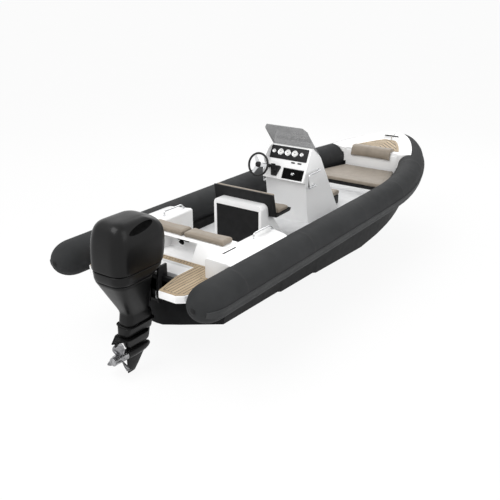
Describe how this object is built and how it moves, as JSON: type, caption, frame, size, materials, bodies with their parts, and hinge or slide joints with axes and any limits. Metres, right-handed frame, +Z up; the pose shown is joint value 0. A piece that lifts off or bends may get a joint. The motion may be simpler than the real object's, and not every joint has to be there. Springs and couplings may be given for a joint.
{
  "type": "inflatable rib boat",
  "caption": "Rigid inflatable boat with a grey collar, centre console, helm seat, sun pad and an outboard motor that tilts and steers.",
  "frame": {"origin": "on the centreline, at the aft face of the transom, at the height of the waterline", "axes": "+X towards the bow, +Y to port, +Z up"},
  "size_m": [7.649, 2.514, 2.281],
  "materials": {
    "hull": "black moulded hull, satin gloss",
    "tube": "charcoal coated fabric, matt",
    "strake": "dark grey ribbed rubber, matt",
    "gelcoat": "white gelcoat",
    "floor": "pale grey moulded deck",
    "teak": "teak strips with dark seams",
    "cushion": "taupe marine vinyl, stitched",
    "panel": "black moulded panel",
    "steel": "polished stainless steel",
    "screen": "smoked clear sheet",
    "motor": "satin black paint",
    "prop": "dark polished steel",
    "bracket": "dark grey paint"
  },
  "bodies": {
    "boat": {"boat_hull": "hull", "transom": "hull", "cockpit_floor": "floor", "tube_starboard": "tube", "tube_port": "tube", "rubbing_strakes": "strake", "motor_well": "gelcoat", "swim_platforms": "gelcoat", "teak_stern": "teak", "coamings": "gelcoat", "stern_rails": "steel", "aft_bulkhead": "gelcoat", "bulkhead_bolster": "cushion", "aft_seat_box": "gelcoat", "helm_seat_base": "gelcoat", "helm_seat_shell": "panel", "helm_seat_cushion": "cushion", "helm_back_cushion": "cushion", "console": "gelcoat", "gauge_panel": "panel", "throttle": "panel", "windscreen": "screen", "steering_column": "panel", "console_rails": "steel", "console_seat": "cushion", "console_seat_box": "panel", "bow_locker": "gelcoat", "bow_deck": "gelcoat", "bow_covers": "gelcoat", "bow_bolster": "cushion", "bow_teak": "teak", "bow_post": "steel", "motor_clamp": "bracket", "trim_ram": "steel"},
    "outboard_swivel": {"motor_swivel": "bracket"},
    "outboard": {"motor_leg": "motor", "powerhead": "panel", "cowl": "motor", "gearcase": "motor"},
    "propeller": {"propeller": "prop"},
    "helm_wheel": {"steering_wheel": "panel"},
    "helm_door": {"helm_base_door": "panel"},
    "glovebox": {"glovebox_lid": "panel"},
    "aft_seat_top": {"aft_seat_lid": "gelcoat", "aft_seat_cushion": "cushion"},
    "bow_locker_top": {"sun_pad_lid": "panel", "sun_pad": "cushion"}
  },
  "joints": [
    {"name": "outboard_tilt", "type": "hinge", "parent": "boat", "child": "outboard_swivel", "pos_m": [0.03, 0, 0.285], "axis": [0, 1, 0], "range_deg": [0, 60]},
    {"name": "outboard_steer", "type": "hinge", "parent": "outboard_swivel", "child": "outboard", "pos_m": [-0.12, 0, 0.1], "axis": [0, 0, 1], "range_deg": [-30, 30]},
    {"name": "propeller_spin", "type": "hinge", "parent": "outboard", "child": "propeller", "pos_m": [-0.6, 0, -0.61], "axis": [1, 0, 0], "continuous": true},
    {"name": "steering_wheel_turn", "type": "hinge", "parent": "boat", "child": "helm_wheel", "pos_m": [2.489, 0.273, 0.892], "axis": [0.9636, 0, -0.2672], "range_deg": [-810, 810]},
    {"name": "helm_door_hinge", "type": "hinge", "parent": "boat", "child": "helm_door", "pos_m": [1.617, 0, 0.537], "axis": [0, 1, 0], "range_deg": [0, 85]},
    {"name": "glovebox_hinge", "type": "hinge", "parent": "boat", "child": "glovebox", "pos_m": [2.77652, -0.135, 0.81127], "axis": [0, 1, 0], "range_deg": [0, 60]},
    {"name": "aft_seat_hinge", "type": "hinge", "parent": "boat", "child": "aft_seat_top", "pos_m": [0.885, 0, 0.237], "axis": [0, -1, 0], "range_deg": [0, 80]},
    {"name": "bow_locker_hinge", "type": "hinge", "parent": "boat", "child": "bow_locker_top", "pos_m": [4.648, 0, 0.1103], "axis": [0, -1, 0], "range_deg": [0, 75]}
  ],
  "couplings": [
    {"joint": "steering_wheel_turn", "follows": "outboard_steer", "ratio": 27}
  ]
}
